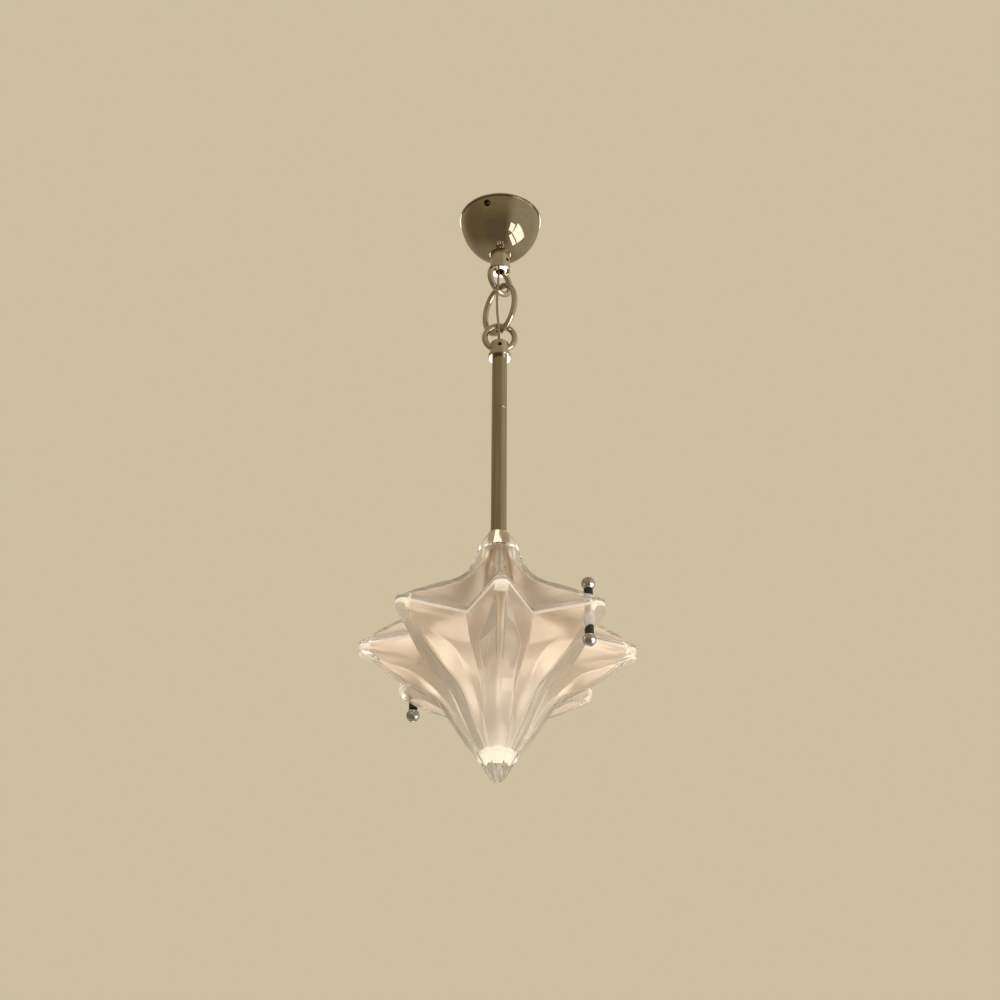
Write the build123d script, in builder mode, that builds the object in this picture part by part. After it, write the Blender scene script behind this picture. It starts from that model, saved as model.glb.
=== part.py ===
from build123d import *
import os
from math import acos, asin, atan2, cos, degrees, pi, radians, sin, sqrt, tan

# A pressed-glass star lantern on a short chromed rod, hung by a ring, a link and a ring from a
# small dome canopy. Millimetres, +Z up. Origin: centre of the canopy's mouth, on the ceiling.
# -Y is the front. Heights are Z values; the glass heights count from the seam of its two halves.

os.makedirs("parts", exist_ok=True)

# ---------------------------------------------------------------- ceiling plate and canopy
plate_r = 35.0             # round ceiling plate
plate_t = 2.0
plate_cable_r = 7.0        # hole for the supply cable
slot_spacing = 50.0        # ceiling screw slots, centre to centre along X
slot_length = 12.0
slot_r = 2.5
ear_width = 12.0           # the two ears bent down from the plate
ear_drop = 17.0
canopy_screw_azimuth = -111.0   # one side screw here, the other opposite
canopy_screw_z = -10.0
canopy_r = 41.5
canopy_depth = 49.0        # of the whole dome, down to the point that its flat cuts off
dome_end_r = 37.0          # the dome's outline is an arc of this radius that runs into a flatter one
canopy_wall = 1.2
canopy_rim_h = 2.0         # turned rim at the ceiling
canopy_rim_out = 0.9
seat_r = 11.0              # flat at the bottom of the dome, where the collar seats

# ---------------------------------------------------------------- screws, threads and fits
m4_r = 2.0
m4_head_r = 3.8
m4_head_h = 2.4
m10_r = 4.95
cord_hole_r = 3.4          # cord way through nipples and plugs
thread_gap = 0.05          # radial gap between the two parts of a thread or fit
seat_gap = 0.1             # between round faces that seat on each other
slot_w = 1.0               # screwdriver slots
hex_key_r = 1.45           # sockets in the grub screws, across corners

# ---------------------------------------------------------------- rings and link
wire_r = 3.0               # wire of both rings and of the link
ring_r = 15.0              # centre line of both rings
wire_gap = 0.3             # between two wires that hang on each other
lower_wire_gap = 0.5       # the lower ring crosses the link at less than a right angle
upper_ring_z = -82.0
upper_ring_yaw = 47.0      # the upper ring is turned this far from facing the front
upper_collar_r = 10.2
upper_collar_bottom = -69.6
upper_grub_z = -59.0
link_yaw = -48.0           # the link's plane, from facing the front
link_length = 56.6         # centre line, end to end
link_width = 43.0          # centre line, side to side
link_end_r = 18.0          # centre line, at its rounded ends
lower_collar_r = 9.0
lower_collar_rise = 5.0    # the lower collar stands this far into the ring's hole
lower_collar_h = 14.0

# ---------------------------------------------------------------- rod and cord
flange_r = 11.3
flange_h = 5.0
rod_r = 7.5
rod_wall = 1.0
rod_upper_length = 63.0
rod_lower_length = 143.0
spigot_length = 18.0       # of each plug inside a rod tube
cord_r = 1.2
# The cord's route from the terminal block, through the canopy loop, in front of the link's wires
# and down the rod to the lampholder.
cord_route = [
    (0.0, 16.5, -8.0), (-0.6, 6.5, -9.8), (-1.5, 0.0, -20.0),
    (-1.5, 0.0, -75.5), (-2.0, -7.0, -86.0), (-2.2, -10.2, -96.0), (-3.2, -8.5, -109.0),
    (-3.1, -6.5, -121.0), (-2.6, -7.2, -133.0), (-1.6, -8.0, -143.0), (-1.0, -5.2, -152.0),
    (-0.8, 0.0, -158.5),
]
cord_end_gap = 0.3         # between the cord's end and the lampholder's core

# ---------------------------------------------------------------- glass star
rays = 8
neck_top = 121.0           # above the seam
lip_r = 10.3
hollow_floor = -104.0      # the lower half's hollow ends here, with solid glass below
seam_gap = 0.2
# Each row of the upper half: height, ridge radius, half width of the ridge, valley radius.
upper_outside = [
    (0, 125, 5, 75), (4, 125, 5, 75), (5.5, 120.4, 4.4, 73), (12.5, 113, 3.2, 62),
    (24, 96, 2.2, 49), (37, 76.5, 1.6, 39), (50, 56, 1.2, 32), (65, 40, 1, 26.5),
    (84, 27.3, 1, 21.5), (96, 22, 1, 19.2), (108, 17, 1, 16),
]
upper_hollow = [
    (0, 117, 2, 68.5), (4, 115, 2, 68), (12.5, 103, 1.5, 56), (24, 85, 1.2, 43),
    (37, 66, 1, 33), (50, 48, 1, 26), (65, 33, 1, 20.5), (84, 20, 1, 16.5), (99, 15, 1, 14.5),
]
# The outline of the round neck: radius, height.
neck_outline = [
    (17, 84), (19.6, 99), (19.2, 103), (17.8, 107.5), (15, 112), (12.4, 116), (11.2, 118.5),
]
# The lower half has one more corner on each side of a ridge, where a kite-shaped facet begins:
# height, ridge radius, half width, that corner's distance along and beside the ray, valley radius.
lower_outside = [
    (0, 125, 5, 121.5, 6.45, 75), (-4, 125, 5, 121.5, 6.45, 75), (-8, 125, 4.4, 121, 5.2, 72.8),
    (-22, 105, 3, 97.5, 11.6, 65.3), (-33, 88, 2.4, 75, 18.5, 56), (-53, 56, 1.6, 50.5, 13, 41),
    (-69, 44, 1.3, 38, 12.4, 34), (-85, 34, 1.1, 29.5, 9.7, 28.5), (-110, 17, 0.9, 15.3, 5.2, 15),
    (-121, 9.5, 0.7, 8.9, 3, 8.6), (-126, 6.5, 0.5, 6.1, 2.1, 6), (-128.3, 3.8, 0.3, 3.6, 1.2, 3.5),
    (-129, 1.6, 0.2, 1.5, 0.5, 1.4),
]
lower_hollow = [
    (0, 117, 2, 68.5), (-4, 115, 2, 68), (-22, 94.5, 1.6, 58.5), (-38, 71, 1.4, 45),
    (-53, 47, 1.2, 34.5), (-80, 30, 1, 24), (hollow_floor, 13, 1, 12.3),
]
cone_h = 18.0              # metal cone that the glass neck hangs on
cone_top_r = 7.5
cone_base_r = 12.0
sleeve_t = 0.8             # silicone sleeve between cone and glass
support_nut_h = 4.0

# ---------------------------------------------------------------- clips through both halves
clip_in = 16.5             # from the end of a ray to its clip rod
clip_azimuth = -45.0
clip_rod_r = 2.5
ball_above = 9.3           # from the glass ridge under a ball nut to the ball's centre
ball_below = 10.6
ball_r = 6.2
ball_flat = 5.4            # from a ball's centre to the flat that seats on its bush
bush_r = 4.0
bush_end_rise = 0.7        # how far a bush ends inside the glass of its hole

# ---------------------------------------------------------------- lampholder and lamp
holder_r = 13.5
holder_wall = 1.5
holder_top = 98.0
holder_collar_h = 6.0
holder_cap_skirt_z = 84.0
holder_joint_z = 88.0
holder_shell_bottom = 46.0
core_h = 17.0
groove_h = 5.0             # how deep the thread shell sits in the core
e14_r = 6.95
e14_fit = 0.07
e14_shell_t = 0.5
e14_shell_bottom = 47.0
contact_h = 1.0
lamp_cap_bottom = 45.0
lamp_cap_h = 19.0
lamp_contact_h = 2.0
globe_r = 22.5
globe_z = 10.0
globe_neck_r = 9.0
globe_neck_curve = 20.0

# ---------------------------------------------------------------- heights and places that follow
dome_end_centre = canopy_depth - dome_end_r
dome_side_r = (canopy_r ** 2 + dome_end_centre ** 2 - dome_end_r ** 2) / (2 * (canopy_r - dome_end_r))
dome_side_centre = dome_side_r - canopy_r
dome_turn = degrees(atan2(dome_end_centre, dome_side_centre))
canopy_seat_z = -dome_end_centre - sqrt(dome_end_r ** 2 - seat_r ** 2)
link_top_z = upper_ring_z - ring_r + 2 * wire_r + wire_gap
link_z = link_top_z - link_length / 2
link_bottom_z = link_top_z - link_length
lower_ring_z = link_bottom_z + 2 * wire_r + lower_wire_gap - ring_r
lower_collar_top = lower_ring_z - ring_r + wire_r + lower_collar_rise
lower_collar_bottom = lower_collar_top - lower_collar_h
rod_top_z = lower_collar_bottom - flange_h
rod_joint_z = rod_top_z - rod_upper_length
rod_end_z = rod_joint_z - rod_lower_length
rod_bore_r = rod_r - rod_wall
seam_z = rod_end_z - neck_top
cord_route.append((*cord_route[-1][:2], seam_z + holder_cap_skirt_z + cord_end_gap))


def ridge_height(rows, radius):
    """The height at which the ridge of a star table passes a radius."""
    for (z_0, r_0, *_), (z_1, r_1, *_) in zip(rows, rows[1:]):
        if r_1 <= radius < r_0:
            return z_0 + (z_1 - z_0) * (r_0 - radius) / (r_0 - r_1)
    raise ValueError("radius outside the star")


clip_r = upper_outside[0][1] - clip_in
clip_places = [
    (clip_r * cos(radians(clip_azimuth + turn)), clip_r * sin(radians(clip_azimuth + turn)))
    for turn in (0, 180)
]
# The ball nuts and bushes follow the glass at their radius, outside and in the hollow.
clip_upper_z = ridge_height(upper_outside, clip_r) + ball_above
clip_lower_z = ridge_height(lower_outside, clip_r) - ball_below
bush_upper_end = ridge_height(upper_hollow, clip_r) + bush_end_rise
bush_lower_end = ridge_height(lower_hollow, clip_r) - bush_end_rise


def save(piece, name):
    """Labels a finished piece and writes it under its own name."""
    piece.label = name
    export_step(piece, f"parts/{name}.step")


def yawed(yaw, z=0.0):
    """The horizontal plane at height z, turned by yaw about Z."""
    a = radians(yaw)
    return Plane(origin=(0, 0, z), x_dir=(cos(a), sin(a), 0), z_dir=(0, 0, 1))


def facing(azimuth, radius, z):
    """A plane that faces outwards at that azimuth, with its centre at that radius and height."""
    a = radians(azimuth)
    return Plane(
        origin=(radius * cos(a), radius * sin(a), z),
        x_dir=(-sin(a), cos(a), 0),
        z_dir=(cos(a), sin(a), 0),
    )


def dome_r(z):
    """The canopy's outer radius at height z, on the flatter arc."""
    return sqrt(dome_side_r ** 2 - z ** 2) - dome_side_centre


def turned(points):
    """A closed outline of (radius, z) points, to be turned about Z."""
    with BuildSketch(Plane.XZ) as outline:
        with BuildLine():
            Polyline(*points, close=True)
        make_face()
    return outline.sketch


def discs(radius, z, places=((0, 0),)):
    """Circles of one radius at height z, for upright holes and pegs."""
    with BuildSketch(Plane.XY.offset(z)) as outline:
        with Locations(*places):
            Circle(radius)
    return outline.sketch


def slots(length, width, z, places=((0, 0),)):
    """Screwdriver slots along X, cut upwards from height z."""
    with BuildSketch(Plane.XY.offset(z)) as outline:
        with Locations(*places):
            Rectangle(length, width)
    return outline.sketch


def tube(name, outer, bore, top, bottom, chamfered=0.0):
    """A turned round tube or bush with a chamfer on its outer edges."""
    with BuildPart() as piece:
        extrude(discs(outer, bottom), amount=top - bottom)
        if chamfered:
            chamfer(piece.edges().filter_by(GeomType.CIRCLE), chamfered)
        extrude(discs(bore, bottom), amount=top - bottom, mode=Mode.SUBTRACT)
    save(piece.part, name)


def hex_nut(name, across_flats, bore, top, height):
    """A hexagon nut about the Z axis."""
    with BuildPart() as nut:
        with BuildSketch(Plane.XY.offset(top)) as hexagon:
            RegularPolygon(across_flats / 2, 6, major_radius=False)
            Circle(bore, mode=Mode.SUBTRACT)
        extrude(hexagon.sketch, amount=-height)
    save(nut.part, name)


# ================================================================ ceiling plate
# Pressed steel: two screw slots, a cable hole, two ears with tapped holes for the canopy's side
# screws, and tapped holes for the terminal block and the earth screw.
block_w, block_l, block_h = 28.0, 13.0, 12.0
block_y = 21.5
block_fix_r = 1.5
way_r = 1.7
way_pitch = 9.0
way_z = -8.0
earth_y = -21.0
ear_gap = 0.9
ear_face_r = dome_r(ear_drop) - canopy_wall - ear_gap
block_fix = [(way_pitch / 2, block_y)]

with BuildPart() as ceiling_plate:
    with BuildSketch(Plane.XY.offset(-plate_t)):
        Circle(plate_r)
        with Locations(yawed(canopy_screw_azimuth).location):
            Rectangle(2 * ear_face_r, ear_width)
        Circle(plate_cable_r, mode=Mode.SUBTRACT)
        with Locations((-slot_spacing / 2, 0), (slot_spacing / 2, 0)):
            SlotOverall(slot_length, 2 * slot_r, mode=Mode.SUBTRACT)
        with Locations(*block_fix):
            Circle(block_fix_r + thread_gap, mode=Mode.SUBTRACT)
        with Locations((0, earth_y)):
            Circle(m4_r + thread_gap, mode=Mode.SUBTRACT)
    extrude(amount=plate_t)
    for side in (0, 180):
        with BuildSketch(facing(canopy_screw_azimuth + side, ear_face_r, -ear_drop)):
            Rectangle(ear_width, ear_drop, align=(Align.CENTER, Align.MIN))
        extrude(amount=-plate_t)
        with BuildSketch(facing(canopy_screw_azimuth + side, ear_face_r, canopy_screw_z)):
            Circle(m4_r + thread_gap)
        extrude(amount=-plate_t, mode=Mode.SUBTRACT)
save(ceiling_plate.part, "ceiling_plate")

# Slotted pan-head earth screw, driven up into the plate.
with BuildPart() as earth_screw:
    extrude(discs(m4_head_r, -plate_t, [(0, earth_y)]), amount=-m4_head_h)
    fillet(earth_screw.edges().group_by(Axis.Z)[0], m4_head_h / 3)
    extrude(discs(m4_r, -plate_t, [(0, earth_y)]), amount=plate_t)
    extrude(
        slots(2 * m4_head_r, slot_w, -plate_t - m4_head_h, [(0, earth_y)]),
        amount=m4_head_h / 2, mode=Mode.SUBTRACT,
    )
save(earth_screw.part, "earth_screw")

# Nylon terminal block: three wire ways along Y, a screw well over each end of a way.
well_r = 2.1
well_places = [(k * way_pitch, block_y + s * block_l / 4) for k in (-1, 0, 1) for s in (-1, 1)]
block_bottom = -plate_t - block_h
with BuildPart() as terminal_block:
    with BuildSketch(Plane.XY.offset(-plate_t)):
        with Locations((0, block_y)):
            RectangleRounded(block_w, block_l, 1.5)
    extrude(amount=-block_h)
    with BuildSketch(Plane.XZ.offset(-block_y - block_l / 2)):
        with Locations(*[(k * way_pitch, way_z) for k in (-1, 0, 1)]):
            Circle(way_r)
    extrude(amount=block_l, mode=Mode.SUBTRACT)
    extrude(discs(well_r, block_bottom, well_places), amount=way_z - block_bottom, mode=Mode.SUBTRACT)
    extrude(
        discs(block_fix_r + thread_gap, block_bottom, block_fix), amount=block_h,
        mode=Mode.SUBTRACT,
    )
save(terminal_block.part, "terminal_block")

# The six clamping screws in its wells, and the screw that fixes the block to the plate.
well_recess = 0.5
terminal_screw_h = way_z - way_r - block_bottom - well_recess
with BuildPart() as terminal_screws:
    extrude(discs(well_r - thread_gap, block_bottom + well_recess, well_places), amount=terminal_screw_h)
    extrude(
        slots(2 * well_r, slot_w / 2, block_bottom + well_recess, well_places),
        amount=slot_w, mode=Mode.SUBTRACT,
    )
save(terminal_screws.part, "terminal_screws")

with BuildPart() as block_screw:
    extrude(discs(block_fix_r, block_bottom, block_fix), amount=block_h + plate_t)
    extrude(discs(1.8 * block_fix_r, block_bottom, block_fix), amount=-block_fix_r)
save(block_screw.part, "block_screw")

# ================================================================ canopy and its side screws
# Spun brass dome, chromed: two tangent arcs, a flat for the collar and a turned rim.
inner_seat_z = canopy_seat_z + canopy_wall
canopy_hole_r = m10_r + 0.35


def dome_arcs(wall, seat_z, rim_z):
    """The two arcs of the dome's outline, at a depth of wall, from its seat up to its rim."""
    end_r, side_r = dome_end_r - wall, dome_side_r - wall
    from_seat = -degrees(asin((-seat_z - dome_end_centre) / end_r))
    to_rim = -degrees(asin(-rim_z / side_r))
    low = CenterArc((0, -dome_end_centre), end_r, from_seat, -dome_turn - from_seat)
    high = CenterArc((-dome_side_centre, 0), side_r, -dome_turn, dome_turn + to_rim)
    return low @ 0, high @ 1


with BuildPart() as canopy:
    with BuildSketch(Plane.XZ):
        with BuildLine():
            outer_seat, outer_rim = dome_arcs(0, canopy_seat_z, -canopy_rim_h)
            inner_seat, inner_rim = dome_arcs(canopy_wall, inner_seat_z, 0)
            Polyline(
                outer_seat, (canopy_hole_r, canopy_seat_z), (canopy_hole_r, inner_seat_z), inner_seat,
            )
            Polyline(
                inner_rim, (canopy_r + canopy_rim_out, 0),
                (canopy_r + canopy_rim_out, -canopy_rim_h), outer_rim,
            )
        make_face()
    revolve(axis=Axis.Z)
    for side in (0, 180):
        with BuildSketch(facing(canopy_screw_azimuth + side, canopy_r, canopy_screw_z)):
            Circle(m4_r + 2 * thread_gap)
        extrude(amount=-canopy_r / 3, mode=Mode.SUBTRACT)
save(canopy.part, "canopy")

# Socket screws that hold the canopy to the plate's ears. A head seats on the dome at its upper
# edge, where the dome is widest.
side_head_r = 3.4
side_head_h = 1.8
head_seat_r = dome_r(canopy_screw_z + side_head_r) + seat_gap
with BuildPart() as canopy_screws:
    for side in (0, 180):
        azimuth = canopy_screw_azimuth + side
        with BuildSketch(facing(azimuth, head_seat_r, canopy_screw_z)):
            Circle(side_head_r)
        extrude(amount=side_head_h, taper=18)
        with BuildSketch(facing(azimuth, head_seat_r, canopy_screw_z)):
            Circle(m4_r)
        extrude(amount=-(head_seat_r - ear_face_r + plate_t + slot_w))
        with BuildSketch(facing(azimuth, head_seat_r + side_head_h, canopy_screw_z)):
            RegularPolygon(hex_key_r, 6)
        extrude(amount=-m4_r, mode=Mode.SUBTRACT)
save(canopy_screws.part, "canopy_screws")


# ================================================================ rings with collars
def loop(name, ring_z, yaw, collar_r, collar_top, collar_bottom, grub_z):
    """A cast ring that is one piece with a drilled and tapped round collar."""
    with BuildPart() as collar:
        extrude(discs(collar_r, collar_bottom), amount=collar_top - collar_bottom)
        chamfer(collar.edges().filter_by(GeomType.CIRCLE), collar_r / 12)
    front = yawed(yaw, ring_z)
    with BuildPart() as ring:
        with BuildSketch(front) as wire:
            with Locations((ring_r, 0)):
                Circle(wire_r)
        revolve(wire.sketch, axis=Axis(front.origin, front.y_dir))
        add(collar.part)
        bore_bottom = collar_bottom - wire_r
        extrude(
            discs(m10_r + thread_gap, bore_bottom), amount=collar_top - bore_bottom,
            mode=Mode.SUBTRACT,
        )
        with BuildSketch(facing(yaw - 90, collar_r, grub_z)) as grub_hole:
            Circle(m4_r + thread_gap)
        extrude(grub_hole.sketch, amount=m10_r / 2 - collar_r, mode=Mode.SUBTRACT)
    save(ring.part, name)


def grub_screw(name, azimuth, outer_r, nipple_r, z):
    """A socket set screw, sunk under the collar's face and down on the nipple."""
    sunk = 1.0
    with BuildPart() as screw:
        with BuildSketch(facing(azimuth, nipple_r + seat_gap, z)) as shank:
            Circle(m4_r)
        extrude(shank.sketch, amount=outer_r - sunk - nipple_r - seat_gap)
        with BuildSketch(facing(azimuth, outer_r - sunk, z)) as socket:
            RegularPolygon(hex_key_r, 6)
        extrude(socket.sketch, amount=-m4_r, mode=Mode.SUBTRACT)
    save(screw.part, name)


lower_grub_z = (lower_collar_top + lower_collar_bottom) / 2
loop("canopy_loop", upper_ring_z, upper_ring_yaw, upper_collar_r, canopy_seat_z, upper_collar_bottom, upper_grub_z)
grub_screw("canopy_loop_screw", upper_ring_yaw - 90, upper_collar_r, m10_r, upper_grub_z)
loop("rod_loop", lower_ring_z, 0, lower_collar_r, lower_collar_top, lower_collar_bottom, lower_grub_z)
grub_screw("rod_loop_screw", -90, lower_collar_r, m10_r, lower_grub_z)

# ================================================================ what holds the canopy loop
# Hollow M10 nipple through the dome, with a washer and a lock nut inside and a cord grip on top.
washer_t = 1.2
locknut_h = 4.0
locknut_af = 14.0
nipple_top = inner_seat_z + washer_t + locknut_h + 4.0
nipple_bottom = upper_grub_z - 4.0
grip_flange_h = 2.0
tube("loop_nipple", m10_r, cord_hole_r, nipple_top, nipple_bottom)
tube("nipple_washer", seat_r - 2.0, m10_r + 0.2, inner_seat_z + washer_t, inner_seat_z)
hex_nut("nipple_locknut", locknut_af, m10_r + thread_gap, inner_seat_z + washer_t + locknut_h, locknut_h)
with BuildPart() as cord_grip:
    extrude(discs(m10_r + 0.8, nipple_top), amount=grip_flange_h)
    chamfer(cord_grip.edges().group_by(Axis.Z)[-1], 0.8)
    extrude(discs(cord_hole_r - thread_gap, nipple_top), amount=-6.0)
    extrude(
        discs(cord_r + seat_gap, nipple_top - 6.0, [cord_route[3][:2]]),
        amount=6.0 + grip_flange_h, mode=Mode.SUBTRACT,
    )
save(cord_grip.part, "cord_grip")

# ================================================================ link
# An oval of round wire made of four tangent arcs, hung between the two rings.
side_r = ((link_width / 2) ** 2 + (link_length / 2 - link_end_r) ** 2 - link_end_r ** 2) / (
    link_width - 2 * link_end_r
)
side_centre = side_r - link_width / 2
end_centre = link_length / 2 - link_end_r
half_side = degrees(atan2(end_centre, side_centre))
link_front = yawed(link_yaw, link_z)
link_side = Plane(origin=link_front.origin, x_dir=link_front.x_dir, z_dir=-link_front.y_dir)
with BuildPart() as link:
    with BuildLine(link_side) as link_line:
        CenterArc((-side_centre, 0), side_r, 0, half_side)
        CenterArc((0, end_centre), link_end_r, half_side, 180 - 2 * half_side)
        CenterArc((side_centre, 0), side_r, 180 - half_side, 2 * half_side)
        CenterArc((0, -end_centre), link_end_r, 180 + half_side, 180 - 2 * half_side)
        CenterArc((-side_centre, 0), side_r, -half_side, half_side)
    with BuildSketch(Plane(link_side.from_local_coords((link_width / 2, 0)), z_dir=(0, 0, 1))):
        Circle(wire_r)
    sweep()
save(link.part, "link")

# ================================================================ rod
# Hollow M10 nipple, a flanged plug, two chromed tubes with a plug between them, and an end plug.
rod_nipple_top = lower_collar_top - 2.0
tube("rod_nipple", m10_r, cord_hole_r, rod_nipple_top, rod_top_z + 0.5)
plug_r = rod_bore_r - thread_gap
with BuildPart() as rod_flange:
    extrude(discs(flange_r, rod_top_z), amount=flange_h)
    chamfer(rod_flange.edges().filter_by(GeomType.CIRCLE), 0.6)
    extrude(discs(plug_r, rod_top_z - spigot_length), amount=spigot_length)
    extrude(discs(m10_r + thread_gap, rod_top_z), amount=flange_h, mode=Mode.SUBTRACT)
    extrude(discs(cord_hole_r, rod_top_z - spigot_length), amount=spigot_length, mode=Mode.SUBTRACT)
save(rod_flange.part, "rod_flange")
tube("rod_upper", rod_r, rod_bore_r, rod_top_z, rod_joint_z, chamfered=0.25)
tube("rod_coupler", plug_r, cord_hole_r, rod_joint_z + spigot_length, rod_joint_z - spigot_length)
tube("rod_lower", rod_r, rod_bore_r, rod_joint_z, rod_end_z, chamfered=0.25)
tube("rod_end_bush", plug_r, m10_r + thread_gap, rod_end_z + spigot_length, rod_end_z)

# ================================================================ what holds the glass and the holder
# The metal cone inside the glass neck, its silicone sleeve and its nut.
cone_base_z = rod_end_z - cone_h
cone_slope = (cone_base_r - cone_top_r) / cone_h
with BuildPart() as glass_support:
    revolve(turned([
        (m10_r + thread_gap, rod_end_z), (cone_top_r, rod_end_z), (cone_base_r, cone_base_z),
        (m10_r + thread_gap, cone_base_z),
    ]), axis=Axis.Z)
save(glass_support.part, "glass_support")
with BuildPart() as neck_sleeve:
    revolve(turned([
        (cone_top_r + seat_gap, rod_end_z), (cone_top_r + sleeve_t, rod_end_z),
        (cone_base_r + sleeve_t, cone_base_z), (cone_base_r + seat_gap, cone_base_z),
    ]), axis=Axis.Z)
save(neck_sleeve.part, "neck_sleeve")
hex_nut("support_nut", locknut_af, m10_r + thread_gap, cone_base_z, support_nut_h)

cap_top_z = seam_z + holder_top
tube("holder_nipple", m10_r, cord_hole_r, rod_end_z + spigot_length - 4.0, cap_top_z - holder_collar_h)

# ================================================================ lampholder, E14
holder_bore_r = holder_r - holder_wall
joint_z = seam_z + holder_joint_z
skirt_z = seam_z + holder_cap_skirt_z
with BuildPart() as holder_cap:
    revolve(turned([
        (m10_r + thread_gap, cap_top_z), (8.0, cap_top_z), (holder_r, joint_z + 1.0),
        (holder_r, joint_z), (holder_bore_r - thread_gap, joint_z),
        (holder_bore_r - thread_gap, skirt_z), (holder_bore_r - holder_wall, skirt_z),
        (holder_bore_r - holder_wall, joint_z), (8.0, cap_top_z - holder_collar_h + 2.0),
        (8.0, cap_top_z - holder_collar_h), (m10_r + thread_gap, cap_top_z - holder_collar_h),
    ]), axis=Axis.Z)
save(holder_cap.part, "holder_cap")
core_bottom = skirt_z - core_h
shell_bottom = seam_z + holder_shell_bottom
shoulder_r = 10.0
with BuildPart() as holder_shell:
    revolve(turned([
        (holder_bore_r, joint_z), (holder_r, joint_z), (holder_r, shell_bottom),
        (holder_bore_r, shell_bottom), (holder_bore_r, core_bottom - holder_wall),
        (shoulder_r, core_bottom - holder_wall), (shoulder_r, core_bottom),
        (holder_bore_r, core_bottom),
    ]), axis=Axis.Z)
save(holder_shell.part, "holder_shell")

# Ceramic core with a groove for the thread shell, a hole for the contact and two wire holes.
thread_in_r = e14_r + e14_fit
thread_out_r = thread_in_r + e14_shell_t
rivet_r = 1.5
lead_r = 1.3
with BuildPart() as holder_core:
    extrude(discs(holder_bore_r - seat_gap, core_bottom), amount=core_h)
    with BuildSketch(Plane.XY.offset(core_bottom)):
        Circle(thread_out_r + thread_gap)
        Circle(thread_in_r - thread_gap, mode=Mode.SUBTRACT)
    extrude(amount=groove_h, mode=Mode.SUBTRACT)
    extrude(discs(rivet_r + thread_gap, core_bottom), amount=core_h, mode=Mode.SUBTRACT)
    extrude(
        discs(lead_r, core_bottom, [(0, -4.5), (0, 4.5)]), amount=core_h, mode=Mode.SUBTRACT
    )
save(holder_core.part, "holder_core")
tube(
    "holder_thread_shell", thread_out_r, thread_in_r, core_bottom + groove_h,
    seam_z + e14_shell_bottom,
)
with BuildPart() as holder_contact:
    extrude(discs(2 * rivet_r, core_bottom), amount=-contact_h)
    extrude(discs(rivet_r, core_bottom), amount=core_h)
save(holder_contact.part, "holder_contact")

# ================================================================ lamp, a small globe
cap_bottom_z = seam_z + lamp_cap_bottom
lamp_top_z = cap_bottom_z + lamp_cap_h
with BuildPart() as lamp_cap:
    revolve(turned([
        (0, lamp_top_z), (3.5, lamp_top_z), (5.0, lamp_top_z - 1.5), (e14_r, lamp_top_z - 4.0),
        (e14_r, cap_bottom_z + 2.0), (globe_neck_r - 0.6, cap_bottom_z), (0, cap_bottom_z),
    ]), axis=Axis.Z)
save(lamp_cap.part, "lamp_cap")
with BuildPart() as lamp_contact:
    extrude(discs(2.5, lamp_top_z), amount=lamp_contact_h)
    fillet(lamp_contact.edges().group_by(Axis.Z)[-1], 0.8)
save(lamp_contact.part, "lamp_contact")
# The globe is a ball that runs into its neck through a hollow arc, tangent to both.
reach = globe_r + globe_neck_curve
curve_x = globe_neck_r + globe_neck_curve
curve_z = sqrt(reach ** 2 - curve_x ** 2)
lean = degrees(atan2(curve_z, curve_x))
with BuildPart() as lamp_globe:
    with BuildSketch(Plane((0, 0, seam_z + globe_z), x_dir=(1, 0, 0), z_dir=(0, -1, 0))):
        with BuildLine():
            CenterArc((0, 0), globe_r, -90, 90 + lean)
            hollow_arc = CenterArc((curve_x, curve_z), globe_neck_curve, 180 + lean, -lean)
            Polyline(
                hollow_arc @ 1, (globe_neck_r, lamp_cap_bottom - globe_z),
                (0, lamp_cap_bottom - globe_z), (0, -globe_r),
            )
        make_face()
    revolve(axis=Axis.Z)
save(lamp_globe.part, "lamp_globe")


# ================================================================ glass star
def star_face(z, corners):
    """A star outline at height z: corners are (along, beside) places of half a ray, tip first."""
    points = []
    for k in range(rays):
        ray = radians(360 / rays * k - 90)
        before_tip = [(along, -beside) for along, beside in corners[::-1]]
        for along, beside in before_tip + corners[:-1]:
            points.append((
                along * cos(ray) - beside * sin(ray), along * sin(ray) + beside * cos(ray),
            ))
    with BuildSketch(Plane.XY.offset(z)) as outline:
        with BuildLine():
            Polyline(*points, close=True)
        make_face()
    return outline.sketch


def round_tip(ridge, half_width, next_corner):
    """Three corners on the arc that rounds a ray's tip and runs into its flank."""
    lean = atan2(next_corner[1] - half_width, ridge - next_corner[0])
    tip_r = half_width * cos(lean) / (1 - sin(lean))
    angles = [part * (pi / 2 - lean) for part in (0.25, 0.62, 1)]
    return [(ridge - tip_r * (1 - cos(a)), tip_r * sin(a)) for a in angles]


def star_solid(rows, base_z, rounded=False):
    """A ruled loft through the star outlines of a table; see the tables above."""
    outlines = []
    for height, ridge, half_width, *kite, valley in rows:
        flank = [(valley * cos(pi / rays), valley * sin(pi / rays))]
        if kite:
            flank.insert(0, tuple(kite))
        tip = round_tip(ridge, half_width, flank[0]) if rounded else [(ridge, half_width)]
        outlines.append(star_face(base_z + height, tip + flank))
    return Solid.make_loft([outline.face().outer_wire() for outline in outlines], ruled=True)


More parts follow.
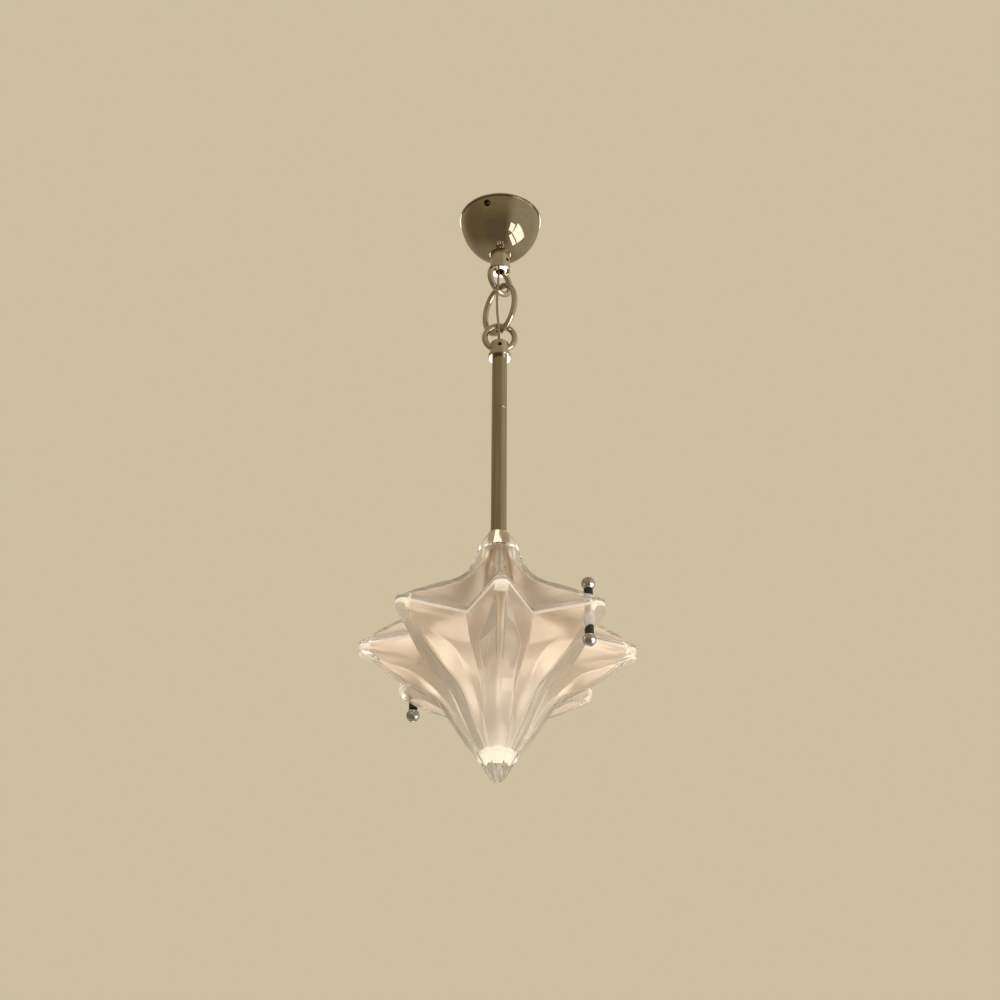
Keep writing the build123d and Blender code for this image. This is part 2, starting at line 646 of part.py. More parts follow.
sleeve_fit = sleeve_t + seat_gap
neck_z = seam_z + neck_top
with BuildPart() as glass_upper:
    add(star_solid(upper_outside, seam_z, rounded=True))
    revolve(turned(
        [(0, seam_z + neck_outline[0][1])]
        + [(r, seam_z + z) for r, z in neck_outline]
        + [(lip_r, neck_z - 1.0), (lip_r, neck_z), (0, neck_z)]
    ), axis=Axis.Z)
    add(star_solid(upper_hollow, seam_z), mode=Mode.SUBTRACT)
    # The neck's hole follows the cone and its sleeve, and opens into the hollow below them.
    revolve(turned([
        (0, neck_z), (cone_top_r + sleeve_fit, neck_z), (cone_base_r + sleeve_fit, cone_base_z),
        (upper_hollow[-1][3] - 0.4, seam_z + upper_hollow[-1][0] - 1.0),
        (0, seam_z + upper_hollow[-1][0] - 1.0),
    ]), axis=Axis.Z, mode=Mode.SUBTRACT)
    fillet(
        glass_upper.edges().filter_by(GeomType.CIRCLE).group_by(Axis.Z)[-1], 0.7
    )
    extrude(
        discs(bush_r + thread_gap, seam_z, clip_places), amount=clip_upper_z, mode=Mode.SUBTRACT,
    )
save(glass_upper.part, "glass_upper")

lower_z = seam_z - seam_gap
with BuildPart() as glass_lower:
    add(star_solid(lower_outside, lower_z, rounded=True))
    add(star_solid(lower_hollow, lower_z), mode=Mode.SUBTRACT)
    extrude(
        discs(bush_r + thread_gap, lower_z, clip_places), amount=clip_lower_z, mode=Mode.SUBTRACT,
    )
save(glass_lower.part, "glass_lower")

# ================================================================ clips
# Two threaded rods through both halves, a rubber bush in each glass hole and ball nuts outside.
thread_end = 2.5           # how far a rod runs past a ball's centre
rod_bottom = seam_z + clip_lower_z - thread_end
with BuildPart() as clip_rods:
    extrude(
        discs(clip_rod_r, rod_bottom, clip_places),
        amount=clip_upper_z - clip_lower_z + 2 * thread_end,
    )
save(clip_rods.part, "clip_rods")


def bushes(name, top, bottom):
    """The pair of rubber bushes that line the clip holes of one half."""
    with BuildPart() as pair:
        extrude(discs(bush_r, bottom, clip_places), amount=top - bottom)
        extrude(
            discs(clip_rod_r + thread_gap, bottom, clip_places), amount=top - bottom,
            mode=Mode.SUBTRACT,
        )
    save(pair.part, name)


def ball_nuts(name, places, z, side):
    """Blind ball nuts whose flat faces the glass; side is 1 above the glass and -1 below it."""
    with BuildPart() as nuts:
        with Locations(*[(x, y, z) for x, y in places]):
            Sphere(ball_r)
        reach = 2 * ball_r
        extrude(
            discs(ball_r, z - side * ball_flat, places), amount=-side * reach, mode=Mode.SUBTRACT
        )
        extrude(
            discs(clip_rod_r + thread_gap, z - side * ball_r, places),
            amount=side * (ball_r + thread_end + 0.3), mode=Mode.SUBTRACT,
        )
    save(nuts.part, name)


bushes("clip_bushes_upper", seam_z + clip_upper_z - ball_flat, seam_z + bush_upper_end)
bushes("clip_bushes_lower", seam_z + bush_lower_end, seam_z + clip_lower_z + ball_flat)
ball_nuts("ball_nuts_upper", clip_places, seam_z + clip_upper_z, 1)
ball_nuts("ball_nut_lower_right", clip_places[:1], seam_z + clip_lower_z, -1)
ball_nuts("ball_nut_lower_left", clip_places[1:], seam_z + clip_lower_z, -1)


# ================================================================ cord
# One brown round cord in four lengths: straight runs joined by tangent arcs.
def bend_radii(points):
    """The largest radius that the two runs at each corner of a route allow."""
    radii = []
    for before, corner, after in zip(points, points[1:], points[2:]):
        run_in, run_out = Vector(corner) - Vector(before), Vector(after) - Vector(corner)
        half_turn = radians(run_in.get_angle(run_out) / 2)
        radii.append(0.45 * min(run_in.length, run_out.length) / tan(half_turn))
    return radii


def cord(name, first, last, start=None, end=None):
    """The cord from one corner of its route to another, begun and ended on the runs outside."""
    points = ([start] if start else []) + cord_route[first:last + 1] + ([end] if end else [])
    radii = cord_bends[first - (1 if start else 0):last + (0 if end else -1)]
    with BuildPart() as length:
        with BuildLine() as path:
            FilletPolyline(*points, radius=radii) if radii else Line(*points)
        route = path.wire()
        with BuildSketch(Plane(route @ 0, z_dir=route % 0)) as section:
            Circle(cord_r)
        sweep(section.sketch, path=route)
    print(
        f"{name}: length {route.length:.1f}, radii {[round(r, 1) for r in radii]}, "
        f"volume over section times length "
        f"{length.part.volume / (pi * cord_r ** 2 * route.length):.4f}"
    )
    save(length.part, name)


cord_bends = bend_radii(cord_route)
cord_exit = (*cord_route[3][:2], upper_collar_bottom)
cord_entry = (*cord_route[11][:2], lower_collar_top)
cord_middle = tuple((a + b) / 2 for a, b in zip(cord_route[6], cord_route[7]))
cord("cord_in_canopy", 0, 2, end=cord_exit)
cord("cord_free_upper", 3, 6, start=cord_exit, end=cord_middle)
cord("cord_free_lower", 7, 11, start=cord_middle, end=cord_entry)
cord("cord_in_rod", 12, 12, start=cord_entry)
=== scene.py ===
"""A moravian star pendant: a pressed-glass star in two halves on a chromed rod, hung by loose
rings from a dome canopy. Everything is in metres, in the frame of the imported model."""
from math import atan2, cos, hypot, pi, radians, sin
import bmesh
import bpy
from mathutils import Matrix, Quaternion, Vector


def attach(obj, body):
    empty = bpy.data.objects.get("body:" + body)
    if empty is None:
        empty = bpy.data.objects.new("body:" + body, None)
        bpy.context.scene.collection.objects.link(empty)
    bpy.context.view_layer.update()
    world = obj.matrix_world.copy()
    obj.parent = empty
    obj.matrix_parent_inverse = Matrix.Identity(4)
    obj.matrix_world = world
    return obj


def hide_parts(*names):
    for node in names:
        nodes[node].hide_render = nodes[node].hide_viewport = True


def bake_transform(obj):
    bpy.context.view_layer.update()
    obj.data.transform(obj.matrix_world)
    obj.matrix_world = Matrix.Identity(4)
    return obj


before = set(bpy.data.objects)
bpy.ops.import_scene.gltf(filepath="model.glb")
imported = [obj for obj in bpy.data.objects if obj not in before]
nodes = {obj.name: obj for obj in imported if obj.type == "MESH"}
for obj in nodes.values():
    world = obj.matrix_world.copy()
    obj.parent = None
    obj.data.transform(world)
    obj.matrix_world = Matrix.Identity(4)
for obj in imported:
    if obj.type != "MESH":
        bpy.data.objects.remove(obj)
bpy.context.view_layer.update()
scene = bpy.context.scene
scene.view_settings.view_transform = "Standard"
mm = 0.001

# ---------------------------------------------------------------- camera
# The photograph looks up at the pendant from well below it and just left of its front ray,
# through a long lens.
camera_distance = 1.456
camera_height = -1.284
camera_yaw = radians(1.3)
camera_aim = radians(0.045)
camera_tilt = radians(32.7)
camera_roll = radians(0.3)
camera_data = bpy.data.cameras.new("camera")
camera_data.sensor_width = 36.0
camera_data.lens = 65.7
camera = bpy.data.objects.new("camera", camera_data)
scene.collection.objects.link(camera)
camera.location = (
    -sin(camera_yaw) * camera_distance, -cos(camera_yaw) * camera_distance, camera_height
)
heading = camera_yaw + camera_aim
looks_along = Vector((
    sin(heading) * cos(camera_tilt), cos(heading) * cos(camera_tilt), sin(camera_tilt)
))
camera.rotation_mode = "QUATERNION"
camera.rotation_quaternion = (
    looks_along.to_track_quat("-Z", "Y") @ Quaternion((0, 0, 1), camera_roll)
)
scene.camera = camera


# ---------------------------------------------------------------- studio
# A pale floor that fades into a plain warm wall. A soft window on the right, in three panes, and
# a doorway low behind, show in polished metal. Four more soft lights only fill in.
def linear(code):
    """A hex colour as linear red, green, blue and alpha."""
    parts = [int(code[i:i + 2], 16) / 255 for i in (1, 3, 5)]
    return [c / 12.92 if c <= 0.04045 else ((c + 0.055) / 1.055) ** 2.4 for c in parts] + [1]


def add_node(tree, kind, settings=(), **inputs):
    """Adds a node. Inputs take a value or another node's output; _ in a name is a space."""
    made = tree.nodes.new(kind)
    for name, value in dict(settings).items():
        setattr(made, name, value)
    for name, value in inputs.items():
        key = int(name[1:]) if name[0] == "n" and name[1:].isdigit() else name.replace("_", " ")
        if isinstance(value, bpy.types.NodeSocket):
            tree.links.new(value, made.inputs[key])
        else:
            made.inputs[key].default_value = value
    return made


wall = linear("#CDBF9F")
wall_through_glass = linear("#D9CEB8")      # the glass gathers light from all round the room
world = bpy.data.worlds.new("studio")
scene.world = world
world.use_nodes = True
sky = world.node_tree
sky.nodes.clear()
ray_kinds = add_node(sky, "ShaderNodeLightPath")
fill_light = add_node(sky, "ShaderNodeBackground", Color=linear("#F4EEE4"), Strength=0.5)
# What polished metal mirrors: a dim floor under a lighter ceiling, a pale wall behind the
# pendant, a dark corner on its left and the brightest wall beside the window. Each tone is laid
# over the last from one limit to the other along one axis.
toward = add_node(sky, "ShaderNodeTexCoord")
direction = add_node(sky, "ShaderNodeSeparateXYZ", Vector=toward.outputs["Generated"])
mirrored_tone = linear("#7C6C52")
for tone, axis, start, end in (
    ("#A08D68", 2, -0.45, 0.45), ("#A6967A", 1, -0.35, 0.5), ("#857452", 0, -0.6, -0.98),
    ("#C4B695", 0, 0.2, 0.75),
):
    share = add_node(
        sky, "ShaderNodeMapRange", {"interpolation_type": "SMOOTHSTEP"},
        Value=direction.outputs[axis], From_Min=start, From_Max=end,
    )
    mirrored_tone = add_node(
        sky, "ShaderNodeMix", {"data_type": "RGBA"}, n0=share.outputs[0],
        n6=mirrored_tone, n7=linear(tone),
    ).outputs[2]
background = fill_light
for ray, tone in (
    ("Is Camera Ray", wall), ("Is Glossy Ray", mirrored_tone),
    ("Is Transmission Ray", wall_through_glass),
):
    tone_seen = add_node(sky, "ShaderNodeBackground", Strength=1.0, Color=tone)
    background = add_node(
        sky, "ShaderNodeMixShader", Fac=ray_kinds.outputs[ray], n1=background.outputs[0],
        n2=tone_seen.outputs[0],
    )
add_node(sky, "ShaderNodeOutputWorld", Surface=background.outputs[0])

# Each light: its place, width, height, power and tone, and whether polished surfaces mirror it.
lights_aim_at = Vector((0, 0, -0.35))
for name, place, width, height, power, tone, mirrored in (
    ("window_pane_upper", (1.32, -0.28, -0.78), 1.15, 0.75, 6.5, "#FFF7EA", True),
    ("window_pane_lower", (1.05, -0.22, -1.38), 1.15, 0.30, 3.2, "#FFF7EA", True),
    ("window_pane_side", (0.95, -1.05, -0.86), 0.42, 0.55, 1.8, "#FFF7EA", True),
    ("fill_left", (-1.3, -0.9, -1.0), 1.0, 1.0, 5.5, "#FFF8EE", False),
    ("doorway_behind", (0.0, 1.3, -1.2), 0.42, 0.26, 1.2, "#FFF7EA", True),
    ("fill_back", (0.1, 1.1, 0.55), 1.2, 1.2, 11.0, "#FFF9F0", False),
    ("fill_above", (-0.3, -1.0, 0.8), 1.0, 1.0, 10.0, "#FFF9F0", False),
    ("fill_below", (-0.1, -0.2, -1.75), 1.2, 1.2, 3.5, "#FFF9F0", False),
):
    panel = bpy.data.lights.new(name, "AREA")
    panel.shape = "RECTANGLE"
    panel.size = width
    panel.size_y = height
    panel.energy = power
    panel.color = linear(tone)[:3]
    light = bpy.data.objects.new(name, panel)
    light.location = place
    light.visible_camera = False
    light.visible_glossy = mirrored
    light.rotation_mode = "QUATERNION"
    light.rotation_quaternion = (lights_aim_at - light.location).to_track_quat("-Z", "Y")
    scene.collection.objects.link(light)


def new_finish(name, base, metallic, roughness):
    """A material with one Principled shader; returns the material, its tree and the shader."""
    finish = bpy.data.materials.new(name)
    finish.use_nodes = True
    tree = finish.node_tree
    tree.nodes.clear()
    shader = add_node(
        tree, "ShaderNodeBsdfPrincipled",
        Base_Color=linear(base), Metallic=metallic, Roughness=roughness,
    )
    add_node(tree, "ShaderNodeOutputMaterial", Surface=shader.outputs[0])
    return finish, tree, shader


floor_z = -1.9
floor_radius = 6.0
floor_fades_from = 2.4
floor_gone_at = 5.8
floor_lift = 0.4            # lifts the floor to the wall's tone, for the camera and through glass
floor_mesh = bpy.data.meshes.new("floor")
floor_shape = bmesh.new()
bmesh.ops.create_circle(floor_shape, cap_ends=True, radius=floor_radius, segments=96)
bmesh.ops.translate(floor_shape, verts=floor_shape.verts, vec=(0, 0, floor_z))
floor_shape.to_mesh(floor_mesh)
floor_shape.free()
floor = bpy.data.objects.new("floor", floor_mesh)
scene.collection.objects.link(floor)
painted_floor, tree, shader = new_finish("painted_floor", "#DDD1BA", 0.0, 0.7)
shader.inputs["Emission Color"].default_value = wall
ray_kinds = add_node(tree, "ShaderNodeLightPath")
seen = add_node(
    tree, "ShaderNodeMath", {"operation": "MAXIMUM"},
    n0=ray_kinds.outputs["Is Camera Ray"], n1=ray_kinds.outputs["Is Transmission Ray"],
)
lift = add_node(
    tree, "ShaderNodeMath", {"operation": "MULTIPLY"}, n0=seen.outputs[0], n1=floor_lift
)
tree.links.new(lift.outputs[0], shader.inputs["Emission Strength"])
# Far out the floor fades into the wall, and polished metal mirrors the room in its place.
floor_place = add_node(tree, "ShaderNodeTexCoord")
far_out = add_node(
    tree, "ShaderNodeVectorMath", {"operation": "LENGTH"}, n0=floor_place.outputs["Object"]
)
fade = add_node(
    tree, "ShaderNodeMapRange", {"interpolation_type": "SMOOTHSTEP"},
    Value=far_out.outputs["Value"], From_Min=floor_fades_from, From_Max=floor_gone_at,
)
hidden = add_node(
    tree, "ShaderNodeMath", {"operation": "MAXIMUM"}, n0=fade.outputs[0],
    n1=ray_kinds.outputs["Is Glossy Ray"],
)
see_through = add_node(tree, "ShaderNodeBsdfTransparent")
floor_mix = add_node(
    tree, "ShaderNodeMixShader", Fac=hidden.outputs[0], n1=shader.outputs[0],
    n2=see_through.outputs[0],
)
tree.links.new(floor_mix.outputs[0], tree.nodes["Material Output"].inputs["Surface"])
floor_mesh.materials.append(painted_floor)

# ---------------------------------------------------------------- cord
# A thin round lamp cord, brown silk braid over its cores, that leaves the canopy's loop, hangs
# in a loose wiggle in front of the link and goes down into the rod.
cord_across = 2.4 * mm
cord_upper_route = [
    (-0.0015, 0.0, -0.0696), (-0.0015, 0.0, -0.0755), (-0.0020, -0.0070, -0.0860),
    (-0.0022, -0.0102, -0.0960), (-0.0032, -0.0085, -0.1090), (-0.00315, -0.0075, -0.1150),
]
cord_lower_route = [
    (-0.00315, -0.0075, -0.1150), (-0.0031, -0.0065, -0.1210), (-0.0026, -0.0072, -0.1330),
    (-0.0016, -0.0080, -0.1430), (-0.0010, -0.0052, -0.1520), (-0.0008, 0.0, -0.1585),
    (-0.0008, 0.0, -0.1628),
]
cord_sides = 20
braid_lay = 5.0 * mm        # one turn of the braid's yarns; drawn a little coarser than real
yarns_round = 8.0


def spline_points(name, route):
    """The points of the smooth NURBS line whose control points are the route."""
    line = bpy.data.curves.new(name, "CURVE")
    line.dimensions = "3D"
    line.resolution_u = 24
    spline = line.splines.new("NURBS")
    spline.points.add(len(route) - 1)
    for point, place in zip(spline.points, route):
        point.co = (*place, 1)
    spline.order_u = 3
    spline.use_endpoint_u = True
    holder = bpy.data.objects.new(name, line)
    scene.collection.objects.link(holder)
    bpy.context.view_layer.update()
    drawn = bpy.data.meshes.new_from_object(
        holder.evaluated_get(bpy.context.evaluated_depsgraph_get())
    )
    points = [vertex.co.copy() for vertex in drawn.vertices]
    bpy.data.objects.remove(holder)
    bpy.data.curves.remove(line)
    bpy.data.meshes.remove(drawn)
    return points


def add_piece(name, mesh):
    """Puts a finished mesh in the scene as a piece of its own name."""
    piece = bpy.data.objects.new(name, mesh)
    scene.collection.objects.link(piece)
    return piece


def cord_tube(name, points):
    """A round tube along points. Its UVs count turns, round the cord and of the braid along it."""
    shape = bmesh.new()
    uv = shape.loops.layers.uv.new("cord")
    side = Vector((1, 0, 0))
    rings, travelled, run = [], [], 0.0
    for i, place in enumerate(points):
        ahead = points[min(i + 1, len(points) - 1)] - points[max(i - 1, 0)]
        ahead.normalize()
        side = (side - ahead * side.dot(ahead)).normalized()
        other = ahead.cross(side)
        if i:
            run += (place - points[i - 1]).length
        travelled.append(run)
        rings.append([
            shape.verts.new(
                place + (side * cos(2 * pi * k / cord_sides) + other * sin(2 * pi * k / cord_sides))
                * cord_across / 2
            )
            for k in range(cord_sides)
        ])
    for i in range(len(rings) - 1):
        for k in range(cord_sides):
            after = (k + 1) % cord_sides
            face = shape.faces.new(
                (rings[i][k], rings[i][after], rings[i + 1][after], rings[i + 1][k])
            )
            face.smooth = True
            turns = (k / cord_sides, (k + 1) / cord_sides)
            for loop, u, v in zip(
                face.loops, (turns[0], turns[1], turns[1], turns[0]),
                (travelled[i], travelled[i], travelled[i + 1], travelled[i + 1]),
            ):
                loop[uv].uv = (u, v / braid_lay)
    shape.faces.new(rings[0][::-1])
    shape.faces.new(rings[-1])
    mesh = bpy.data.meshes.new(name)
    shape.to_mesh(mesh)
    shape.free()
    return add_piece(name, mesh)


# Silk braid: two sets of yarns crossing over the cord, dull with a faint sheen.
silk_braid, tree, shader = new_finish("brown_silk_braid", "#4A3524", 0.0, 0.62)
shader.inputs["Sheen Weight"].default_value = 0.25
coordinates = add_node(tree, "ShaderNodeTexCoord")
for_yarn = []
for lean in (1.0, -1.0):
    turned_uv = add_node(
        tree, "ShaderNodeMapping", Vector=coordinates.outputs["UV"],
        Scale=(yarns_round, yarns_round * lean, 1.0),
    )
    split = add_node(tree, "ShaderNodeSeparateXYZ", Vector=turned_uv.outputs[0])
    sum_uv = add_node(tree, "ShaderNodeMath", n0=split.outputs[0], n1=split.outputs[1])
    wave = add_node(tree, "ShaderNodeMath", {"operation": "PINGPONG"}, n0=sum_uv.outputs[0], n1=0.5)
    for_yarn.append(wave.outputs[0])
yarns = add_node(
    tree, "ShaderNodeMath", {"operation": "MAXIMUM"}, n0=for_yarn[0], n1=for_yarn[1]
)
# Painted shade: the braid is darker where its relief is low, in the gaps between the yarns.
crown_over_gap_shade = add_node(
    tree, "ShaderNodeMapRange", Value=yarns.outputs[0], From_Min=0.15, From_Max=0.5
)
yarn_colour_with_painted_gap_shade = add_node(
    tree, "ShaderNodeMix", {"data_type": "RGBA"}, n0=crown_over_gap_shade.outputs[0],
    n6=linear("#5A4936"), n7=linear("#96826A"),
)
tree.links.new(yarn_colour_with_painted_gap_shade.outputs[2], shader.inputs["Base Color"])
yarn_bump = add_node(
    tree, "ShaderNodeBump", Strength=0.5, Distance=0.15 * mm, Height=yarns.outputs[0]
)
tree.links.new(yarn_bump.outputs[0], shader.inputs["Normal"])

for name, route, above, below, start_z, end_z, length in (
    ("cord_upper", cord_upper_route, "ceiling_fixture", "link", -0.076, -0.112, 0.0477),
    ("cord_lower", cord_lower_route, "link", "pendant", -0.118, -0.158, 0.0497),
):
    points = spline_points(name, route)
    piece = cord_tube(name, points)
    piece.data.materials.append(silk_braid)
    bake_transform(piece)
    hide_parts(name.replace("cord_", "cord_free_"))


# ---------------------------------------------------------------- ceiling plate
# A round plate of pressed steel with two bent ears, and its slotted earth screw: both zinc
# plated and passivated, which leaves a dull blue-grey bloom.
def grained(name, low, high, metallic, roughness, grain, stretch=(1, 1, 1), depth=0.01 * mm):
    """A finish whose colour, roughness and relief follow one grain of that size in metres."""
    finish, tree, shader = new_finish(name, low, metallic, roughness[0])
    place = add_node(tree, "ShaderNodeTexCoord")
    drawn = add_node(
        tree, "ShaderNodeMapping", Vector=place.outputs["Object"],
        Scale=[along / grain for along in stretch],
    )
    pattern = add_node(
        tree, "ShaderNodeTexNoise", Vector=drawn.outputs[0], Scale=1.0, Detail=3.0
    )
    share = add_node(
        tree, "ShaderNodeMapRange", Value=pattern.outputs["Fac"], From_Min=0.3, From_Max=0.7
    )
    tone = add_node(
        tree, "ShaderNodeMix", {"data_type": "RGBA"}, n0=share.outputs[0],
        n6=linear(low), n7=linear(high),
    )
    gloss = add_node(
        tree, "ShaderNodeMapRange", Value=share.outputs[0], To_Min=roughness[0],
        To_Max=roughness[1],
    )
    relief = add_node(
        tree, "ShaderNodeBump", Strength=1.0, Distance=depth, Height=pattern.outputs["Fac"]
    )
    tree.links.new(tone.outputs[2], shader.inputs["Base Color"])
    tree.links.new(gloss.outputs[0], shader.inputs["Roughness"])
    tree.links.new(relief.outputs[0], shader.inputs["Normal"])
    return finish, shader


def dress(finish, *names):
    """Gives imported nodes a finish."""
    for name in names:
        for slot in nodes[name].material_slots:
            slot.material = finish


# Zinc plate: a fine crystalline bloom, drawn at 2.5 mm so that it shows.
zinc_plate, shader = grained(
    "zinc_plated_steel", "#9A9B98", "#B4B5AF", 1.0, (0.32, 0.48), 2.5 * mm
)
dress(zinc_plate, "ceiling_plate", "earth_screw")

# ---------------------------------------------------------------- terminal block
# A moulded white nylon block with three wire ways, six clamping screws in its wells and one
# screw that fixes it to the plate.

# Moulded nylon: slightly yellow white, with the fine spark-eroded grain of its mould.
white_nylon, shader = grained(
    "moulded_white_nylon", "#DDD8CB", "#EBE7DC", 0.0, (0.40, 0.52), 0.6 * mm
)
shader.inputs["Subsurface Weight"].default_value = 0.1
shader.inputs["Subsurface Scale"].default_value = 1.0 * mm
dress(white_nylon, "terminal_block")
dress(zinc_plate, "terminal_screws", "block_screw")

# ---------------------------------------------------------------- canopy
# A dome spun from brass sheet with a turned rim, polished and plated with chrome over nickel.
# Two dark socket screws hold it to the ears of the ceiling plate.

# Chrome plate: a clear mirror whose polish still shows the lathe as a haze of fine rings. Its base
# colour is darker and browner than on the rings and link: painted shade, standing in for the dim
# room the dome mirrors.
shaded_spun_chrome, shader = grained(
    "chrome_on_spun_brass_with_painted_shade", "#A69F92", "#B1AA9E", 1.0, (0.03, 0.06), 1.6 * mm,
    stretch=(0.15, 0.15, 1), depth=0.0006 * mm,
)
dress(shaded_spun_chrome, "canopy")
# Darkened steel: a brown-black oxide that is worn to bare metal in small patches.
dark_steel, shader = grained(
    "oxide_darkened_steel", "#2E241C", "#54473B", 1.0, (0.28, 0.45), 0.9 * mm
)
dress(dark_steel, "canopy_screws")

# ---------------------------------------------------------------- canopy loop
# A cast ring in one piece with its drilled collar, screwed to the dome by a brass nipple with a
# washer and locknut inside, and kept from turning by a grub screw. A grip holds the cord.

# Chrome over a casting: as bright as on the dome, with the faint ripple of hand polishing.
cast_chrome, shader = grained(
    "polished_chrome_on_cast_brass", "#CAC4B9", "#D6D1C7", 1.0, (0.04, 0.08), 5.0 * mm,
    depth=0.01 * mm,
)
dress(cast_chrome, "canopy_loop")
dress(dark_steel, "canopy_loop_screw")
# Turned brass: the tool leaves close rings round the piece, drawn at 0.5 mm.
turned_brass, shader = grained(
    "turned_brass", "#A98A52", "#C8A868", 1.0, (0.22, 0.36), 0.5 * mm, stretch=(0.04, 0.04, 1)
)
dress(turned_brass, "loop_nipple", "nipple_locknut")
dress(zinc_plate, "nipple_washer")
# Black nylon: moulded, a soft grey-black with a fine grain.
black_nylon, shader = grained(
    "moulded_black_nylon", "#1B1A18", "#282623", 0.0, (0.42, 0.55), 0.6 * mm
)
dress(black_nylon, "cord_grip")
dress(silk_braid, "cord_in_canopy")

# ---------------------------------------------------------------- link
# One large oval link of 6 mm round steel wire, bent, welded and dressed, then chromed.

# Chrome over drawn wire: faint lengthwise lines are left under the plate.
wire_chrome, shader = grained(
    "polished_chrome_on_steel_wire", "#C6C0B5", "#D4CFC5", 1.0, (0.04, 0.10), 3.0 * mm,
    depth=0.01 * mm,
)
dress(wire_chrome, "link")

# ---------------------------------------------------------------- rod loop and flange
# The lower ring and collar face the front. A nipple screws the collar down on the flange, whose
# plug holds the rod, and a grub screw locks it.
dress(cast_chrome, "rod_loop", "rod_flange")
dress(dark_steel, "rod_loop_screw")
dress(turned_brass, "rod_nipple")

# ---------------------------------------------------------------- rod
# Two lengths of drawn 15 mm tube on one brass coupler, with a bush in the lower end.

# Chrome over drawn tube: long faint lines run down the rod under the polish. Its base colour is
# darker and browner than on the rings and link: painted shade, standing in for the dim room the rod
# mirrors.
shaded_tube_chrome, shader = grained(
    "chrome_on_drawn_tube_with_painted_shade", "#A89F92", "#B9B1A5", 1.0, (0.06, 0.13), 1.2 * mm,
    stretch=(1, 1, 0.02), depth=0.003 * mm,
)
dress(shaded_tube_chrome, "rod_upper", "rod_lower")
dress(turned_brass, "rod_coupler", "rod_end_bush")
dress(silk_braid, "cord_in_rod")

# ---------------------------------------------------------------- cone that carries the glass
# A turned and chromed cone under the end of the rod. The neck of the glass hangs on it, over a
# silicone sleeve, and a brass nut tightens it from below.
dress(cast_chrome, "glass_support")
# Silicone: soft and water clear, a little cloudy where it is pressed.
clear_silicone, shader = grained(
    "clear_silicone", "#EDE9E0", "#F7F4EC", 0.0, (0.08, 0.14), 4.0 * mm, depth=0.002 * mm
)
shader.inputs["Transmission Weight"].default_value = 1.0
shader.inputs["IOR"].default_value = 1.41
dress(clear_silicone, "neck_sleeve")
dress(turned_brass, "support_nut")

# ---------------------------------------------------------------- lampholder
# A small screw lampholder on its nipple: brass cap and shell, a porcelain core, and the thread
# shell and contact that the lamp meets.
dress(turned_brass, "holder_nipple", "holder_cap", "holder_shell", "holder_contact")
# Porcelain: fired white body under a clear glaze with a slight orange-peel ripple.
porcelain, shader = grained(
    "glazed_porcelain", "#E6E2D8", "#F0EDE5", 0.0, (0.10, 0.18), 2.5 * mm, depth=0.03 * mm
)
dress(porcelain, "holder_core")
# Pressed brass: thin rolled sheet, brighter than the turned pieces.
pressed_brass, shader = grained(
    "pressed_brass", "#BC9B5C", "#D1B274", 1.0, (0.18, 0.28), 1.5 * mm
)
dress(pressed_brass, "holder_thread_shell")

# ---------------------------------------------------------------- lamp
# A small round opal lamp. Its screw cap is pressed aluminium with a soldered centre contact.

# Opal glass: milk white in the body, with a satin skin.
opal_glass, shader = grained(
    "opal_lamp_glass", "#F3EEE4", "#FAF7F0", 0.0, (0.18, 0.28), 6.0 * mm
)
shader.inputs["Subsurface Weight"].default_value = 0.3
shader.inputs["Subsurface Scale"].default_value = 3 * mm
dress(opal_glass, "lamp_globe")
# Pressed aluminium: pale and soft, dulled by handling.
pressed_aluminium, shader = grained(
    "pressed_aluminium", "#B9B8B4", "#CDCCC8", 1.0, (0.25, 0.38), 1.5 * mm
)
dress(pressed_aluminium, "lamp_cap", "lamp_contact")

# ---------------------------------------------------------------- glass star
# Pressed soda glass in two halves with eight hollow rays: polished outside by the flame, etched
# to a satin in the hollow, ground on the seam faces, and solid at the ray ends and the tip.

# The tables are in mm. A row has its height over the seam, the ridge's reach and half width, on
# the lower outside also the two coordinates of the kite's corner, and the valley's reach.
seam_z = -508.8
seam_gap = 0.2
rays = 8
upper_outside = [
    (0, 125, 5, 75), (4, 125, 5, 75), (5.5, 120.4, 4.4, 73), (12.5, 113, 3.2, 62),
    (24, 96, 2.2, 49), (37, 76.5, 1.6, 39), (50, 56, 1.2, 32), (65, 40, 1, 26.5),
    (84, 27.3, 1, 21.5), (96, 22, 1, 19.2), (108, 17, 1, 16), (121, 8, 0.8, 7.5),
]
upper_hollow = [
    (0, 117, 2, 68.5), (4, 115, 2, 68), (12.5, 103, 1.5, 56), (24, 85, 1.2, 43),
    (37, 66, 1, 33), (50, 48, 1, 26), (65, 33, 1, 20.5), (84, 20, 1, 16.5), (99, 15, 1, 14.5),
]
lower_outside = [
    (0, 125, 5, 121.5, 6.45, 75), (-2.5, 125, 5, 121.5, 6.45, 75),
    (-4, 125, 5, 121.5, 6.45, 75), (-8, 125, 4.4, 121, 5.2, 72.8),
    (-22, 105, 3, 97.5, 11.6, 65.3), (-33, 88, 2.4, 75, 18.5, 56), (-53, 56, 1.6, 50.5, 13, 41),
    (-69, 44, 1.3, 38, 12.4, 34), (-85, 34, 1.1, 29.5, 9.7, 28.5), (-110, 17, 0.9, 15.3, 5.2, 15),
    (-121, 9.5, 0.7, 8.9, 3, 8.6), (-126, 6.5, 0.5, 6.1, 2.1, 6), (-128.3, 3.8, 0.3, 3.6, 1.2, 3.5),
    (-129, 1.6, 0.2, 1.5, 0.5, 1.4),
]
lower_hollow = [
    (0, 117, 2, 68.5), (-4, 115, 2, 68), (-22, 94.5, 1.6, 58.5), (-38, 71, 1.4, 45),
    (-53, 47, 1.2, 34.5), (-80, 30, 1, 24), (-104, 13, 1, 12.3),
]
